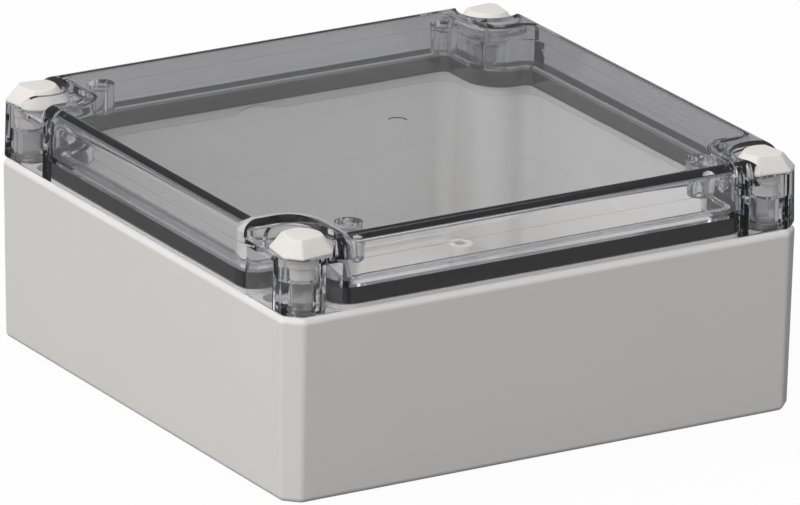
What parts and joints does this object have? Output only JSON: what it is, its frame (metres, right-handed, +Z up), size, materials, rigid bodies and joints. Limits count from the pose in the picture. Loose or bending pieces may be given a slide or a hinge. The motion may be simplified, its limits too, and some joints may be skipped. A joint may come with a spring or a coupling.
{
  "type": "hinged enclosure",
  "caption": "Square grey polycarbonate enclosure with a clear sealed lid that swings on lifting hinges and is held by quarter-turn corner latches.",
  "frame": {"origin": "middle of the underside of the base", "axes": "+Z up, +X to the hinge side, -Y to the front"},
  "size_m": [0.182, 0.18, 0.082],
  "materials": {
    "grey_polycarbonate": "satin moulded",
    "clear_polycarbonate": "clear gloss",
    "seal_foam": "matt foam",
    "grey_cap": "satin moulded",
    "fastener_nylon": "satin moulded",
    "spring_steel": "bright"
  },
  "bodies": {
    "base": {"base_shell": "grey_polycarbonate"},
    "hinge_stems": {"hinge_stem_front": "fastener_nylon", "stem_stop_front": "spring_steel", "hinge_stem_back": "fastener_nylon", "stem_stop_back": "spring_steel"},
    "lid": {"lid_shell": "clear_polycarbonate", "gasket": "seal_foam", "hinge_cap_front": "grey_cap", "hinge_fork_front": "fastener_nylon", "hinge_clip_front": "spring_steel", "hinge_pin_front": "spring_steel", "hinge_cap_back": "grey_cap", "hinge_fork_back": "fastener_nylon", "hinge_clip_back": "spring_steel", "hinge_pin_back": "spring_steel"},
    "latch_front": {"latch_cap_front": "grey_cap", "latch_spindle_front": "fastener_nylon", "latch_clip_front": "spring_steel"},
    "latch_back": {"latch_cap_back": "grey_cap", "latch_spindle_back": "fastener_nylon", "latch_clip_back": "spring_steel"}
  },
  "joints": [
    {"name": "stem_lift", "type": "slide", "parent": "base", "child": "hinge_stems", "axis": [0, 0, 1], "range_m": [0, 0.0183]},
    {"name": "lid_swing", "type": "hinge", "parent": "hinge_stems", "child": "lid", "pos_m": [0.0817, 0, 0.0525], "axis": [0, 1, 0], "range_deg": [0, 95]},
    {"name": "latch_front_turn", "type": "hinge", "parent": "lid", "child": "latch_front", "pos_m": [-0.0817, -0.0807, 0.07], "axis": [0, 0, 1], "range_deg": [0, 90]},
    {"name": "latch_back_turn", "type": "hinge", "parent": "lid", "child": "latch_back", "pos_m": [-0.0817, 0.0807, 0.07], "axis": [0, 0, -1], "range_deg": [0, 90]}
  ],
  "couplings": [
    {"joint": "stem_lift", "follows": "lid_swing", "m_per_rad": 0.011}
  ]
}
